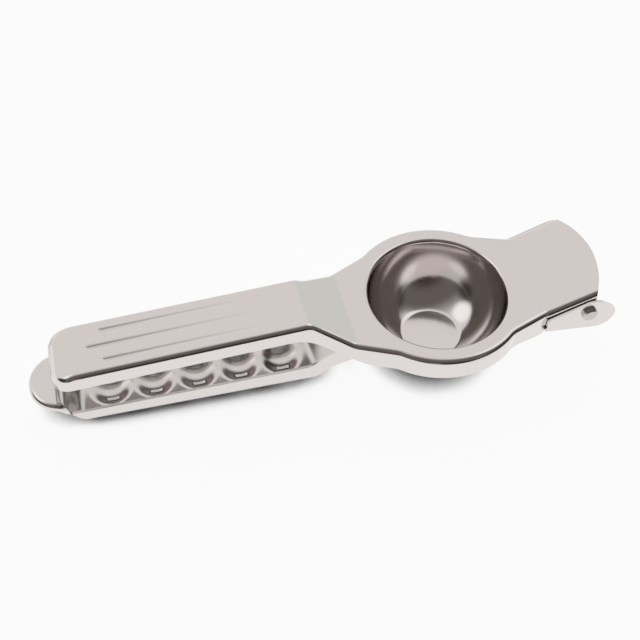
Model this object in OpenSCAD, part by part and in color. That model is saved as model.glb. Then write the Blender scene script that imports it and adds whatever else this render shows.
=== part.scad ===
// Hinged lemon squeezer: two pressed sheet levers turning on a pair of short rivets.
// The origin is the centre of the strainer bowl's flat bottom, +X points to the hinge,
// the handles lie towards -X and +Z is up.

/* [Sheet] */
// Thickness of the pressed sheet
sheet_t = 1; // [0.8:0.1:1.2]
// Gap between the side walls that nest in each other
wall_gap = 0.3; // [0.2:0.05:0.4]

/* [Press cup and strainer bowl] */
// Inner radius of the press cup
cup_r = 24.5; // [22:0.5:26]
// Depth of the cup's flat bottom below the rim plane
cup_depth = 23.5; // [20:0.5:24.5]
// Rounding of the cup's rim
cup_round = 1.5; // [1.2:0.1:2]
// Gap between the cup and the bowl when the levers are shut
nest_gap = 1.5; // [1:0.1:2.5]
// Width of the rim from the cup's wall to the lever's edge
rim_w = 6.7; // [6:0.1:8]
// Radius of a strainer hole
hole_r = 1.6; // [1.2:0.1:2]
// Radius of the inner ring of strainer holes
inner_holes_r = 6; // [5:0.5:8]
// Radius of the outer ring of strainer holes
outer_holes_r = 14.5; // [13:0.5:17]
// Number of holes in the inner ring, the outer ring has twice as many
inner_holes = 6; // [4:1:8]

/* [Upper lever] */
// Reach of the upper handle from the cup's centre
handle_reach = 134.4; // [125:0.2:138]
// Width of the upper handle
handle_w = 22.8; // [20:0.2:26]
// Radius of the upper handle's end corners in plan
handle_corner_r = 6; // [5:0.5:8]
// Outer radius of the bead along the upper lever's edge
bead_r = 2.3; // [2:0.1:2.6]
// Height of the upper handle's side walls
skirt_h = 6.3; // [5:0.1:7]
// Height of the skirt round the cup
rim_skirt_h = 5.9; // [5:0.1:6]
// Height of the handle's break above the rim plane
handle_rise = 8; // [6:0.2:10]
// Distance from the cup's centre to the foot of the sloping facet
facet_foot = 34; // [33:0.2:36]
// Distance from the cup's centre to the top of the sloping facet
facet_top = 49.1; // [48:0.1:52]
// Fall of the upper handle towards its end in degrees
handle_tilt = 2.35; // [1:0.05:4]
// Angle of the handle's shoulders in plan
shoulder_angle = 24; // [20:1:28]
// Distance from the cup's centre to the corner between handle and shoulder
neck_x = 47.3; // [46:0.1:50]
// Length of the middle groove
groove_l = 67; // [50:1:70]
// Length of the outer grooves
side_groove_l = 57; // [40:1:60]
// Spacing of the grooves
groove_pitch = 6.2; // [5:0.1:6.6]
// Depth of a groove
groove_depth = 0.75; // [0.5:0.05:0.9]

/* [Thumb tab] */
// Reach of the tab's round end from the cup's centre
tab_reach = 56.6; // [55:0.2:58]
// Width of the tab over its skirts
tab_w = 38; // [34:0.5:40]
// Radius of the tab's round end
tab_end_r = 34.7; // [30:0.1:40]
// Rise of the tab in degrees
tab_angle = 20.5; // [15:0.5:22]
// Distance from the cup's centre to the tab's crease
tab_crease = 35; // [34:0.2:36]
// Angle of the tab's shoulders in plan
tab_shoulder_angle = 19; // [16:1:24]

/* [Lower lever] */
// Reach of the tongue from the cup's centre
tongue_reach = 143.1; // [139:0.1:146]
// Depth of the tongue's face below the rim plane
tongue_drop = 9.7; // [8:0.1:11]
// Drop of the tongue's curled lip
lip_h = 2.6; // [2.2:0.1:3]
// Depth of the floor round the bowl below the rim plane
floor_drop = 6.9; // [6.6:0.1:8]
// Depth of the handle's floor at the neck below the rim plane
channel_drop = 19.2; // [18:0.1:21]
// Rise of the handle's floor towards its end in degrees
channel_tilt = 1.15; // [0.5:0.05:1.5]
// Depth of the handle's wall tops below the rim plane
channel_top_drop = 13.4; // [12.5:0.1:14.2]
// Depth of the wall tops round the bowl below the rim plane
seam_drop = 1.5; // [1.2:0.1:2]
// Outer radius of the bend between floor and wall
floor_bend_r = 2.8; // [2.4:0.1:3]
// Distance from the cup's centre to the floor's straight end below the tab
floor_end = 37; // [36:0.1:38]

/* [Finger pockets] */
// Number of finger pockets
pockets = 5; // [3:1:5]
// Spacing of the pockets
pocket_pitch = 15; // [13:0.1:15.2]
// Distance from the cup's centre to the pocket nearest to it
pocket_x = 57; // [56:0.5:60]
// Radius of a pocket's section
pocket_r = 5.5; // [5:0.1:6]
// Depth of a pocket
pocket_depth = 4; // [3:0.1:4.5]
// Length of a drain slot
slot_l = 5.5; // [4:0.1:6]
// Width of a drain slot
slot_w = 2.7; // [2:0.1:3]

/* [Hinge] */
// Distance from the cup's centre to the hinge axis
hinge_x = 49.3; // [48.5:0.1:50]
// Depth of the hinge axis below the rim plane
hinge_drop = 1.9; // [1:0.1:2.5]
// Radius of the ear's round end
ear_r = 7.7; // [7:0.1:8]
// Radius of the lug inside the ear
lug_r = 4.9; // [4.4:0.1:5]
// Radius of the rivet's shank
shank_r = 1.8; // [1.5:0.1:2]
// Radius of the rivet's head
head_r = 2.75; // [2.5:0.05:3.2]
// Height of the rivet's head
head_h = 1.5; // [1:0.1:2]
// Running clearance of the shank in the lug
pin_gap = 0.05; // [0.03:0.01:0.1]

/* [Hidden] */
$fn = 96;
steel = "#c9c3c0";
rivet_steel = "#b9b4b0";

// How far a cut runs past the sheet that it goes through
overrun = 1;
// Height of the rim plane over the bowl's flat bottom
rim_z = cup_depth + sheet_t + nest_gap + sheet_t;
// Height of the middle of the cup's and the bowl's round walls
ball_z = rim_z - cup_round;
hinge_z = rim_z - hinge_drop;
// Outer radius of the upper lever's rim, the reference line of both outlines
rim_r = cup_r + rim_w;
half_w = handle_w / 2;
tab_half_w = tab_w / 2;
// Offset of the lower lever's outer face from the reference line
lower_offset = wall_gap + sheet_t;
// Outer radius of the lower lever's round end
tongue_r = half_w + lower_offset;

// Softness of a break line, as half the length of its curve
break_soft = 1.2;
// Radii of the concave corners of the outline
neck_round = 12;
shoulder_round = 10;
tab_round = 8;
// Corner between the tab's shoulder and its straight side
tab_neck_x = tab_crease - sheet_t;
// Steps along a bend's quarter turn, and degrees between stations on the arcs
bend_steps = 5;
arc_step = 5;
// Share of a low edge's height that its bend takes
bend_share = 0.8;

// Height gained by a line that bends softly from level to a rise of one in one
function soft_rise(d, soft) =
    d <= -soft ? 0 : d >= soft ? d : pow(d + soft, 2) / (4 * soft);
// Its slope
function soft_slope(d, soft) =
    d <= -soft ? 0 : d >= soft ? 1 : (d + soft) / (2 * soft);
function sum(v, i = 0) = i < len(v) ? v[i] + sum(v, i + 1) : 0;

// A line through points [distance, height, softness] that is level before the first
function slope_after(line, i) =
    i < 0 ? 0 : (line[i + 1][1] - line[i][1]) / (line[i + 1][0] - line[i][0]);
function line_height(line, d) = line[0][1] + sum([
    for (i = [0 : len(line) - 2])
        (slope_after(line, i) - slope_after(line, i - 1)) * soft_rise(d - line[i][0], line[i][2])
]);
function line_slope(line, d) = sum([
    for (i = [0 : len(line) - 2])
        (slope_after(line, i) - slope_after(line, i - 1)) * soft_slope(d - line[i][0], line[i][2])
]);

// Lines of the upper lever, over the distance from the cup's centre towards the handle
droop_start_share = 0.963;
droop_soft = 4;
droop_h = 4.4;
droop_x = handle_reach * droop_start_share;
function handle_level(d) = handle_rise - (d - facet_top) * tan(handle_tilt);
upper_line = [
    [facet_foot, 0, break_soft],
    [facet_top, handle_rise, break_soft],
    [droop_x, handle_level(droop_x), droop_soft],
    [handle_reach, handle_level(droop_x) - droop_h]
];
// The skirt's lower edge dips where it enters the lower lever
dip_x = facet_foot + 4;
dip_h = 2.1;
skirt_soft = 3;
skirt_x = facet_top - 1.6;
skirt_line = [
    [facet_foot - 4, -rim_skirt_h, break_soft],
    [dip_x, -rim_skirt_h - dip_h, break_soft],
    [skirt_x, handle_level(skirt_x) - skirt_h, skirt_soft],
    [handle_reach, handle_level(handle_reach) - skirt_h]
];
function tab_height(x) = tan(tab_angle) * soft_rise(x - tab_crease, break_soft);

// Lines of the lower lever
ramp_angle = 25;
channel_x = facet_top - 0.9;
ramp_x = channel_x - (channel_drop - floor_drop) / tan(ramp_angle);
end_wall_angle = 65;
end_wall_soft = 3.6;
tongue_soft = 1.3;
// Where the end wall starts, seen from the tongue's tip
end_wall_x = tongue_reach - 14.6;
function channel_level(d) = -channel_drop + (d - channel_x) * tan(channel_tilt);
tongue_x = end_wall_x + (-tongue_drop - channel_level(end_wall_x)) / tan(end_wall_angle);
floor_line = [
    [ramp_x, -floor_drop, 2 * break_soft],
    [channel_x, -channel_drop, break_soft],
    [end_wall_x, channel_level(end_wall_x), end_wall_soft],
    [tongue_x, -tongue_drop, tongue_soft],
    [tongue_reach, -tongue_drop]
];
// The wall's upper edge runs level, climbs to the seam at the shoulder and drops at the tongue
wall_climb_x = facet_top + 1.4;
wall_climb_angle = 27.5;
wall_seam_x = wall_climb_x - (channel_top_drop - seam_drop) / tan(wall_climb_angle);
lip_x = end_wall_x + 2.2;
wall_line = [
    [wall_seam_x, -seam_drop, 2 * break_soft],
    [wall_climb_x, -channel_top_drop, 2 * break_soft],
    [lip_x, -channel_top_drop, break_soft],
    [lip_x + 3, -channel_top_drop + 1.1, break_soft],
    [tongue_reach, -channel_top_drop + 1.1]
];

// Stations of an outline: [x, y, direction of the outward normal]
function arc_stations(centre, r, from, to, side) =
    let (n = ceil(abs(to - from) / arc_step))
    [for (i = [0 : n]) let (a = from + (to - from) * i / n)
        [centre.x + side * r * cos(a), centre.y + side * r * sin(a), a]];
function run_stations(p, q, marks) =
    [for (m = marks) if (m > p.x + sheet_t / 4 && m < q.x - sheet_t / 4)
        [m, p.y + (q.y - p.y) * (m - p.x) / (q.x - p.x), p[2]]];

// Centre of the concave corner between the rim's circle and a shoulder line
function rim_corner(normal, line_c, r, side) =
    let (along = sqrt(pow(rim_r + r, 2) - pow(line_c + r, 2)))
    (line_c + r) * [cos(normal), sin(normal)] + side * along * [sin(normal), -cos(normal)];
function last(v) = v[len(v) - 1];

// Both levers share this outline, apart from their handle ends and the offset
shoulder_normal = 90 + shoulder_angle;
shoulder_c = -neck_x * cos(shoulder_normal) + half_w * sin(shoulder_normal);
shoulder_corner = rim_corner(shoulder_normal, shoulder_c, shoulder_round, -1);
shoulder_at = atan2(shoulder_corner.y, shoulder_corner.x);
tab_normal = 90 - tab_shoulder_angle;
tab_c = tab_neck_x * cos(tab_normal) + tab_half_w * sin(tab_normal);
tab_corner = rim_corner(tab_normal, tab_c, shoulder_round, 1);
tab_at = atan2(tab_corner.y, tab_corner.x);
function outline(end_x, corner_r, stop_x, marks) =
    let (
        handle_end = arc_stations([corner_r - end_x, half_w - corner_r], corner_r, 180, 90, 1),
        neck = arc_stations([-neck_x - neck_round * tan(shoulder_angle / 2), half_w + neck_round],
            neck_round, 90, shoulder_normal, -1),
        shoulder = arc_stations(shoulder_corner, shoulder_round, shoulder_normal, shoulder_at, -1),
        rim = arc_stations([0, 0], rim_r, shoulder_at, tab_at, 1),
        tab_shoulder = arc_stations(tab_corner, shoulder_round, tab_at, tab_normal, -1),
        tab_neck = arc_stations([tab_neck_x + tab_round * tan(tab_shoulder_angle / 2),
            tab_half_w + tab_round], tab_round, tab_normal, 90, -1),
        stop = [stop_x, tab_half_w, 90]
    )
    concat(
        handle_end,
        run_stations(last(handle_end), neck[0], marks),
        neck,
        run_stations(last(neck), shoulder[0], marks),
        shoulder,
        [for (i = [1 : len(rim) - 2]) rim[i]],
        tab_shoulder,
        run_stations(last(tab_shoulder), tab_neck[0], marks),
        tab_neck,
        run_stations(last(tab_neck), stop, marks),
        [stop]
    );
// Marks that resolve a soft break at x
function break_marks(x, soft) = [for (i = [-2 : 2]) x + soft * i / 2];
function sorted(v) = len(v) < 2 ? v : concat(
    sorted([for (x = v) if (x < v[0]) x]), [v[0]], sorted([for (x = v) if (x > v[0]) x]));
function thinned(v, least) =
    [for (i = [0 : len(v) - 1]) if (i == 0 || v[i] - v[i - 1] > least) v[i]];

// One side of a station's section: the sheet's middle runs flat, bends and ends at the edge.
// Each entry holds the point and the sheet's normal there.
function side_points(s, offset, bend_r, level, slope, edge) =
    let (
        n = [cos(s[2]), sin(s[2]), 0],
        face = [-sin(slope), 0, cos(slope)],
        mid_r = bend_r - sheet_t / 2,
        start = [s.x, s.y, level] + n * (offset - bend_r),
        rise = edge - level,
        up = sign(rise),
        bend_h = min(mid_r, bend_share * abs(rise))
    )
    concat(
        [for (i = [0 : bend_steps]) let (
            a = 90 * i / bend_steps,
            turn = atan2(up * bend_h * sin(a), mid_r * cos(a))
        ) [start + n * mid_r * sin(a) + [0, 0, up * bend_h * (1 - cos(a))],
            cos(turn) * face - sin(turn) * n]],
        [[start + n * mid_r + [0, 0, rise], -up * n]]
    );
function flip_y(v) = [v.x, -v.y, v.z];

// A pressed channel whose sections stand on the stations of an outline
module pressed_sheet(stations, sections) {
    m = bend_steps + 2;
    top = [for (s = sections) [for (p = s) p[0] + p[1] * sheet_t / 2]];
    bottom = [for (s = sections) [for (p = s) p[0] - p[1] * sheet_t / 2]];
    points = [for (i = [0 : len(stations) - 1]) each concat(
        [for (k = [m - 1 : -1 : 0]) flip_y(top[i][k])],
        top[i],
        [for (k = [m - 1 : -1 : 0]) bottom[i][k]],
        [for (p = bottom[i]) flip_y(p)]
    )];
    ring = 4 * m;
    last_ring = (len(stations) - 1) * ring;
    // Places in a ring of a side's point k, on the sheet's two faces
    function left_top(k) = m - 1 - k;
    function right_top(k) = m + k;
    function right_bottom(k) = 3 * m - 1 - k;
    function left_bottom(k) = 3 * m + k;
    function quad(a, b, c, d) = [[a, b, c], [a, c, d]];
    skin = [for (i = [0 : len(stations) - 2]) for (j = [0 : ring - 1])
        let (a = i * ring + j, b = i * ring + (j + 1) % ring)
        each quad(a, b, b + ring, a + ring)];
    // The round end closes across the sheet, the other end is cut square
    round_end = [for (k = [0 : m - 2]) each concat(
        quad(left_top(k), left_top(k + 1), right_top(k + 1), right_top(k)),
        quad(right_bottom(k), right_bottom(k + 1), left_bottom(k + 1), left_bottom(k))
    )];
    free_edge = quad(right_bottom(m - 1), right_top(m - 1), left_top(m - 1), left_bottom(m - 1));
    cut_sides = [for (k = [0 : m - 2]) each concat(
        quad(right_top(k), right_top(k + 1), right_bottom(k + 1), right_bottom(k)),
        quad(left_top(k + 1), left_top(k), left_bottom(k), left_bottom(k + 1))
    )];
    cut_middle = quad(left_top(0), right_top(0), right_bottom(0), left_bottom(0));
    cut_end = [for (face = concat(cut_sides, cut_middle)) [for (i = face) last_ring + i]];
    polyhedron(points = points, faces = concat(skin, round_end, free_edge, cut_end));
}

// A dish of the sheet: flat bottom, ball-shaped wall and a rounded rim that meets a flange
function dish_arc(centre, r, from, to) =
    let (n = ceil(abs(to - from) / arc_step))
    [for (i = [0 : n]) let (a = from + (to - from) * i / n) centre + r * [cos(a), sin(a)]];
module dish(inner_r, flange_z, bottom_z, flange_r) {
    ball = [0, ball_z];
    corner_r = inner_r + cup_round;
    corner_drop = flange_z - cup_round - ball_z;
    corner = [sqrt(pow(corner_r, 2) - pow(corner_drop, 2)), flange_z - cup_round];
    tangent = atan2(corner_drop, corner.x);
    floor_at = -acos(sqrt(pow(inner_r, 2) - pow(bottom_z - ball_z, 2)) / inner_r);
    outer_r = inner_r + sheet_t;
    outer_floor_at = -acos(sqrt(pow(outer_r, 2) - pow(bottom_z - sheet_t - ball_z, 2)) / outer_r);
    rotate_extrude() polygon(concat(
        [[0, bottom_z]],
        dish_arc(ball, inner_r, floor_at, tangent),
        dish_arc(corner, cup_round, tangent + 180, 90),
        [[flange_r, flange_z], [flange_r, flange_z - sheet_t]],
        dish_arc(corner, cup_round - sheet_t, 90, tangent + 180),
        dish_arc(ball, outer_r, tangent, outer_floor_at),
        [[0, bottom_z - sheet_t]]
    ));
}

// A rod with ball ends, its length measured between the ball centres
module rod(r, l) {
    rotate([0, 90, 0]) cylinder(r = r, h = l, center = true);
    for (side = [-1, 1]) translate([side * l / 2, 0, 0]) sphere(r = r);
}

// Frame of the upper handle's face, at its break
module on_handle() {
    translate([-facet_top, 0, rim_z + handle_rise]) rotate([0, -handle_tilt, 0]) children();
}
// Frame of the lower handle's floor, at its break
module on_channel() {
    translate([-channel_x, 0, rim_z - channel_drop]) rotate([0, channel_tilt, 0]) children();
}

// Grooves pressed into the upper handle
groove_r = 1.1;
groove_lift = groove_r - groove_depth;
groove_start = 6;
side_groove_start = 11.2;
module groove_rods(r) {
    for (row = [-1 : 1]) {
        l = row == 0 ? groove_l : side_groove_l;
        start = row == 0 ? groove_start : side_groove_start;
        translate([-start - l / 2, row * groove_pitch, groove_lift]) rod(r, l);
    }
}

// Finger pockets pressed into the lower handle, open to the top
pocket_lift = pocket_r - pocket_depth;
slot_y = 4.5;
slot_slope = 35;
pocket_l = 2 * (slot_y - pocket_r * sin(slot_slope));
module at_pockets() {
    for (i = [0 : pockets - 1])
        translate([channel_x - pocket_x - i * pocket_pitch, 0, pocket_lift]) children();
}
module drain_slot() {
    l = slot_l - slot_w;
    depth = pocket_r + sheet_t + overrun;
    translate([0, 0, -depth]) {
        for (side = [-1, 1]) translate([side * l / 2, 0, 0]) cylinder(d = slot_w, h = depth);
        translate([-l / 2, -slot_w / 2, 0]) cube([l, slot_w, depth]);
    }
}
// Keeps the part of a pressing that lies below the sheet's middle
module below_sheet(depth) {
    intersection() {
        children();
        translate([-handle_reach, -half_w, -sheet_t / 2 - depth])
            cube([handle_reach, handle_w, depth]);
    }
}

// A plate of the sheet's thickness in the hinge's side planes
module side_plates(inner_y) {
    for (side = [0, 1]) mirror([0, side, 0]) translate([0, inner_y + sheet_t, 0])
        rotate([90, 0, 0]) linear_extrude(sheet_t) children();
}
module hinge_bores(r) {
    translate([hinge_x, 0, hinge_z]) rotate([90, 0, 0])
        cylinder(r = r, h = 2 * (rim_r + overrun), center = true);
}

upper_marks = thinned(sorted(concat(
    [for (i = [0 : 8]) -droop_x + droop_soft * (1 - i / 4)],
    break_marks(-facet_top, break_soft), break_marks(-skirt_x, skirt_soft),
    break_marks(-dip_x, break_soft), break_marks(-facet_foot, break_soft),
    break_marks(4 - facet_foot, break_soft), break_marks(tab_crease, break_soft)
)), sheet_t / 5);

module upper_lever() {
    flange_cut = cup_r + cup_round + overrun;
    stations = outline(handle_reach, handle_corner_r, tab_reach + overrun, upper_marks);
    sections = [for (s = stations) let (x = s.x - cos(s[2]) * bead_r) side_points(
        s, 0, bead_r,
        rim_z - sheet_t / 2 + (x < 0 ? line_height(upper_line, -x) : tab_height(x)),
        x < 0 ? -atan(line_slope(upper_line, -x)) : atan(tan(tab_angle) * soft_slope(x - tab_crease, break_soft)),
        rim_z + (x < 0 ? line_height(skirt_line, -s.x) : -rim_skirt_h)
    )];
    color(steel) difference() {
        union() {
            difference() {
                pressed_sheet(stations, sections);
                cylinder(r = flange_cut, h = rim_z + overrun);
                difference() {
                    translate([hinge_x - ear_r / 2, -rim_r, 0])
                        cube([tab_reach, 2 * rim_r, 2 * rim_z]);
                    translate([tab_reach - tab_end_r, 0, -overrun])
                        cylinder(r = tab_end_r, h = 2 * (rim_z + overrun));
                }
            }
            dish(cup_r, rim_z, rim_z - cup_depth, flange_cut + overrun / 2);
            side_plates(tab_half_w - sheet_t) translate([hinge_x, hinge_z]) circle(r = lug_r);
            on_handle() below_sheet(groove_depth + sheet_t) groove_rods(groove_r + sheet_t);
        }
        on_handle() groove_rods(groove_r);
        hinge_bores(shank_r + pin_gap);
    }
}

// Outline of an ear, seen from the side with heights over the ground
ear_start = floor_end - sheet_t;
ear_inner_y = tab_half_w + wall_gap;
function tangent_turn() =
    atan2(hinge_z - rim_z + seam_drop, hinge_x - ear_start)
        + asin(ear_r / norm([hinge_x - ear_start, hinge_z - rim_z + seam_drop]));
module ear_outline() {
    bend_top = rim_z - floor_drop - sheet_t + floor_bend_r;
    turn = tangent_turn();
    translate([hinge_x, hinge_z]) circle(r = ear_r);
    polygon([
        [ear_start, bend_top],
        [floor_end, bend_top],
        [floor_end, rim_z - floor_drop - sheet_t / 2],
        [hinge_x, hinge_z - ear_r],
        [hinge_x, hinge_z],
        [hinge_x - ear_r * sin(turn), hinge_z + ear_r * cos(turn)],
        [ear_start, rim_z - seam_drop]
    ]);
}

module strainer_holes() {
    for (ring = [1, 2]) for (i = [1 : ring * inner_holes])
        rotate([0, 0, 360 * i / (ring * inner_holes)])
            translate([ring == 1 ? inner_holes_r : outer_holes_r, 0, -overrun])
                cylinder(r = hole_r, h = rim_z / 2);
}

lower_marks = thinned(sorted(concat(
    [for (i = [0 : 8]) -end_wall_x + end_wall_soft * (i / 4 - 1)],
    break_marks(-wall_climb_x, 2 * break_soft), break_marks(-channel_x, break_soft),
    break_marks(-wall_seam_x, 2 * break_soft)
)), sheet_t / 5);

module lower_lever() {
    bowl_r = cup_r + sheet_t + nest_gap;
    rim_cut = sqrt(pow(bowl_r + cup_round, 2) - pow(floor_drop, 2));
    stations = outline(tongue_reach - lower_offset, half_w - sheet_t / 2, floor_end, lower_marks);
    sections = [for (s = stations) let (x = s.x + cos(s[2]) * (lower_offset - floor_bend_r)) side_points(
        s, lower_offset, floor_bend_r,
        rim_z - sheet_t / 2 + line_height(floor_line, -x),
        -atan(line_slope(floor_line, -x)),
        rim_z + line_height(wall_line, -s.x)
    )];
    color(steel) difference() {
        union() {
            difference() {
                pressed_sheet(stations, sections);
                translate([0, 0, ball_z]) sphere(r = bowl_r + sheet_t / 2);
                translate([0, 0, rim_z - floor_drop - sheet_t / 2]) cylinder(r = rim_cut, h = rim_z);
            }
            dish(bowl_r, rim_z - floor_drop, sheet_t, rim_cut + sheet_t / 2);
            side_plates(ear_inner_y) ear_outline();
            on_channel() below_sheet(pocket_depth + sheet_t) at_pockets()
                rotate([0, 0, 90]) rod(pocket_r + sheet_t, pocket_l);
        }
        on_channel() at_pockets() {
            rotate([0, 0, 90]) rod(pocket_r, pocket_l);
            for (side = [-1, 1]) translate([0, side * pocket_l / 2, 0])
                rotate([side * slot_slope, 0, 0]) drain_slot();
        }
        strainer_holes();
        hinge_bores(shank_r);
    }
}

// A short rivet through an ear and the lug inside it, drawn on the +Y side
clinch_gap = 0.3;
clinch_r = 2.6;
clinch_h = 0.9;
head_round = 0.5;
module rivet() {
    ear_outer = ear_inner_y + sheet_t;
    lug_inner = tab_half_w - sheet_t;
    color(rivet_steel) translate([hinge_x, 0, hinge_z]) rotate([-90, 0, 0]) rotate_extrude() polygon([
        [0, lug_inner - clinch_gap - clinch_h],
        [clinch_r, lug_inner - clinch_gap - clinch_h],
        [clinch_r, lug_inner - clinch_gap],
        [shank_r, lug_inner - clinch_gap],
        [shank_r, ear_outer],
        [head_r, ear_outer],
        [head_r, ear_outer + head_h - head_round],
        [head_r - head_round, ear_outer + head_h],
        [0, ear_outer + head_h]
    ]);
}
module hinge_rivet_far() rivet();
module hinge_rivet_near() mirror([0, 1, 0]) rivet();

upper_lever();
lower_lever();
hinge_rivet_near();
hinge_rivet_far();
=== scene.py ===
import math
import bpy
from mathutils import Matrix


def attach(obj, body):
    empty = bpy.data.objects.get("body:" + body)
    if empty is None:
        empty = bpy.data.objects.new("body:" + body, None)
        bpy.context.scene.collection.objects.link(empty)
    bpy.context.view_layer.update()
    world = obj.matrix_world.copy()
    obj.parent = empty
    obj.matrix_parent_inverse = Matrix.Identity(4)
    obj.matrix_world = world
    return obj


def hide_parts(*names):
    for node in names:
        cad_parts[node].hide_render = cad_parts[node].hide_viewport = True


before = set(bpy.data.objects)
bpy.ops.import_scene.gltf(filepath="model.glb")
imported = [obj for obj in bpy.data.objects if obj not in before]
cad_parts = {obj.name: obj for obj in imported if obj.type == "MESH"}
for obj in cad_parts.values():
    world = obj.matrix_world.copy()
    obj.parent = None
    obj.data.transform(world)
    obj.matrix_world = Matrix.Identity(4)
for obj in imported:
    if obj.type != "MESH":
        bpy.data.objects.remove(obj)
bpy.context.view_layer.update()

from types import SimpleNamespace

import bmesh
import bpy
import numpy as np
from bpy.props import FloatProperty, FloatVectorProperty, IntProperty, PointerProperty
from mathutils import Euler, Matrix, Vector

bl_info = {
    "name": "Hinged lemon squeezer",
    "version": (1, 0, 0),
    "blender": (4, 5, 0),
    "location": "3D View > Sidebar > Squeezer",
    "description": "Builds two pressed steel levers, their rivets and a plain studio",
    "category": "Add Mesh",
}

MM = 0.001
UPPER_BODY = "upper_body"
LOWER_BODY = "lower_body"

# Slopes of the outline's shoulders against the long edge, in degrees, and the corners they start at
SHOULDER, NECK = 24.0, 47.3
TAB_SHOULDER, TAB_NECK = 19.0, 34.0
# The tab bends up at the crease
CREASE, TAB_RISE = 35.0, math.tan(math.radians(20.5))
# Start of the lower handle's channel, and its floor and the bowl's flange under the rim plane
CHANNEL_X, CHANNEL_DROP, CHANNEL_TILT, FLOOR_DROP = 46.2, 20.4, math.radians(1.15), 7.0
# Grooves of the upper handle: place across, start from the cup's centre and length
GROOVE_PITCH, GROOVE_HALF = 6.2, 0.9
GROOVES = ((-GROOVE_PITCH, 60.3, 57.0), (0.0, 55.1, 67.0), (GROOVE_PITCH, 60.3, 57.0))
# Steps round a bend, rows of the tab's patches, and the step that slopes are measured over
BEND_STEPS, TAB_ROWS, SLOPE_STEP = 9, 28, 0.02
# Radius of the first ring round the middle of a dish
FIRST_RING = 0.02


def linear(hex_colour):
    """Linear RGB of an sRGB hex colour."""
    channels = [int(hex_colour[i:i + 2], 16) / 255 for i in (1, 3, 5)]
    return tuple(c / 12.92 if c <= 0.04045 else ((c + 0.055) / 1.055) ** 2.4 for c in channels)


# Sizes and colours that a user would change

def length(name, description, millimetres):
    """A size property whose default is given in millimetres."""
    return FloatProperty(name=name, description=description, default=millimetres * MM, unit="LENGTH",
                         precision=5)


def colour(name, description, hex_colour):
    """A colour property whose default is given as sRGB hex."""
    return FloatVectorProperty(name=name, description=description, default=linear(hex_colour),
                               subtype="COLOR", min=0.0, max=1.0)


class SqueezerSizes(bpy.types.PropertyGroup):
    sheet: length("Sheet", "Thickness of the pressed sheet", 1.0)
    wall_gap: length("Wall gap", "Gap between the nested side walls", 0.3)
    cup_radius: length("Cup radius", "Inner radius of the press cup", 24.5)
    cup_depth: length("Cup depth", "Depth of the cup's flat bottom under the rim", 23.5)
    cup_round: length("Cup rounding", "Rounding of the cup's rim", 1.5)
    nest_gap: length("Nest gap", "Gap between cup and bowl when shut", 1.5)
    rim_width: length("Rim width", "Width of the rim round the cup", 6.7)
    bead: length("Bead radius", "Outer radius of the upper lever's edge", 2.3)
    handle_reach: length("Handle reach", "Upper handle's end from the cup's centre", 134.4)
    handle_width: length("Handle width", "Width of the upper handle", 22.8)
    handle_corner: length("Handle corner", "Radius of the handle's end corners", 6.0)
    tab_reach: length("Tab reach", "Tab's round end from the cup's centre", 56.6)
    tab_width: length("Tab width", "Width of the tab", 38.0)
    channel_width: length("Channel width", "Width of the lower handle", 23.6)
    tongue_reach: length("Tongue reach", "Tongue's tip from the cup's centre", 143.1)
    floor_bend: length("Floor bend", "Outer radius between floor and wall", 2.2)
    hinge_x: length("Hinge reach", "Hinge axis from the cup's centre", 49.3)
    hinge_drop: length("Hinge drop", "Hinge axis below the rim plane", 1.9)
    groove_depth: length("Groove depth", "Depth of the pressed grooves", 0.5)
    pocket_radius: length("Pocket radius", "Radius of a finger pocket's round edge", 7.2)
    pocket_depth: length("Pocket depth", "Depth of the finger pockets", 3.0)
    pocket_x: length("Pocket reach", "First pocket from the cup's centre", 57.0)
    pocket_pitch: length("Pocket pitch", "Spacing of the finger pockets", 15.0)
    hole_radius: length("Hole radius", "Radius of a strainer hole", 1.6)
    inner_ring: length("Inner ring", "Radius of the inner ring of holes", 6.0)
    outer_ring: length("Outer ring", "Radius of the outer ring of holes", 14.5)
    pockets: IntProperty(name="Pockets", description="Number of finger pockets", default=5, min=1)
    holes: IntProperty(name="Holes", description="Holes in the inner ring", default=6, min=3)


class SqueezerColours(bpy.types.PropertyGroup):
    steel: colour("Steel", "Polished stainless steel", "#e4dfdd")
    rivet: colour("Rivet", "Satin steel rivets", "#d2ccc8")
    floor: colour("Floor", "Pale studio floor", "#fafafa")


def sizes_in_mm(context):
    """The size properties in millimetres, by name, with the sizes that follow from them."""
    group = context.scene.squeezer_sizes
    named = SimpleNamespace()
    for name in SqueezerSizes.__annotations__:
        value = getattr(group, name)
        setattr(named, name, value if name in ("pockets", "holes") else value / MM)
    named.rim_z = named.cup_depth + 2 * named.sheet + named.nest_gap
    named.ball_z = named.rim_z - named.cup_round
    named.hinge_z = named.rim_z - named.hinge_drop
    named.rim = named.cup_radius + named.rim_width
    named.half = named.handle_width / 2
    named.channel_half = named.channel_width / 2
    named.tab_half = named.tab_width / 2
    named.inset = named.wall_gap + named.sheet
    named.pocket_ball = (named.pocket_radius ** 2 + named.pocket_depth ** 2) / (2 * named.pocket_depth)
    return named


def soft_ramp(u, soft):
    """u above zero and 0 below it, with the bend rounded over soft on each side."""
    return np.where(u <= -soft, 0, np.where(u >= soft, u, (u + soft) ** 2 / (4 * soft)))


class SoftLine:
    """Line that bends softly at its points (distance, height, softness)."""

    def __init__(self, points):
        self.start = points[0][1]
        self.bends = []
        before = 0.0
        for (d0, h0, soft), (d1, h1, _) in zip(points, points[1:]):
            after = (h1 - h0) / (d1 - d0)
            self.bends.append((after - before, d0, soft))
            before = after

    def height(self, d):
        d = np.asarray(d, float)
        total = np.full(d.shape, self.start)
        for change, at, soft in self.bends:
            total = total + change * soft_ramp(d - at, soft)
        return total


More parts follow.
